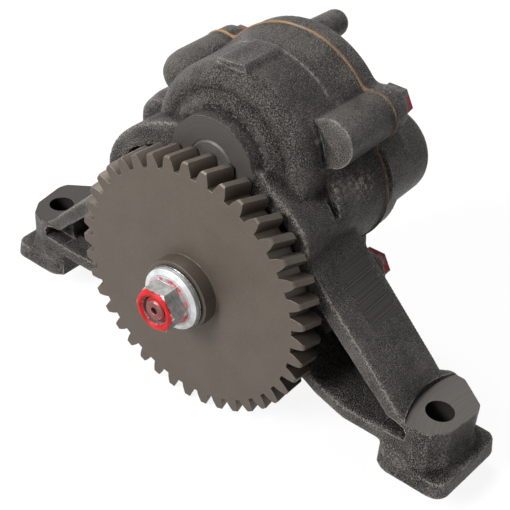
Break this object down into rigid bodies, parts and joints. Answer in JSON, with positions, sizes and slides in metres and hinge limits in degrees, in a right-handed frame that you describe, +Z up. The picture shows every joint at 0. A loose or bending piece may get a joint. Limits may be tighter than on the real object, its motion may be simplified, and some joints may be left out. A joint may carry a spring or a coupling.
{
  "type": "engine oil pump",
  "caption": "Gear oil pump for an engine: an iron housing on a bracket with feet, turned by a helical gear at the front, with a flanged cover and ports behind.",
  "frame": {"origin": "midway between the two foot bolt holes, on the plane that the feet are bolted to", "axes": "+X runs from foot to foot, to the right as seen from the drive gear; +Y runs from the drive gear back to the cover along the shafts; +Z is up from the feet"},
  "size_m": [0.2748, 0.1292, 0.1688],
  "materials": {
    "cast_housing": "rough as-cast grey iron, oiled dark, with machined faces",
    "cast_cover": "rough as-cast grey iron, oiled dark",
    "bush_bronze": "bored bronze",
    "gasket_paper": "brown gasket paper",
    "bolt_steel": "forged steel, heads marked with red paint",
    "ground_steel": "ground steel",
    "gear_steel": "warm grey phosphated steel, satin, edges worn bright",
    "washer_steel": "dark hardened steel",
    "nut_zinc": "worn zinc plate with red paint on the front face",
    "pump_gear_steel": "ground and hobbed steel",
    "spring_steel": "drawn wire",
    "seal_copper": "soft copper",
    "seal_rubber": "black nitrile rubber"
  },
  "bodies": {
    "housing": {"housing_bracket": "cast_housing", "front_shaft_bush": "bush_bronze", "rear_shaft_bush": "bush_bronze", "rear_cover": "cast_cover", "cover_gasket": "gasket_paper", "cover_bolts": "bolt_steel", "dowel_pins": "ground_steel", "idler_shaft": "ground_steel", "relief_plug": "bolt_steel", "relief_seal_ring": "seal_copper", "relief_spring": "spring_steel", "outlet_seal_ring": "seal_rubber"},
    "drive_rotor": {"drive_shaft": "ground_steel", "drive_gear": "gear_steel", "gear_key": "ground_steel", "gear_washer": "washer_steel", "flange_nut": "nut_zinc", "pump_drive_gear": "pump_gear_steel", "pump_gear_key": "ground_steel"},
    "idler_rotor": {"pump_idler_gear": "pump_gear_steel", "idler_bush": "bush_bronze"},
    "relief_valve": {"relief_piston": "ground_steel"}
  },
  "joints": [
    {"name": "drive_spin", "type": "hinge", "parent": "housing", "child": "drive_rotor", "pos_m": [0, 0, 0.054], "axis": [0, 1, 0], "continuous": true},
    {"name": "idler_spin", "type": "hinge", "parent": "housing", "child": "idler_rotor", "pos_m": [0, 0, 0.1125], "axis": [0, 1, 0], "continuous": true},
    {"name": "relief_slide", "type": "slide", "parent": "housing", "child": "relief_valve", "axis": [0, 1, 0], "range_m": [0, 0.008], "stiffness_N_per_m": 2000, "springref_m": -0.006, "deforming": ["relief_spring"]}
  ],
  "couplings": [
    {"joint": "idler_spin", "follows": "drive_spin", "ratio": -1}
  ]
}
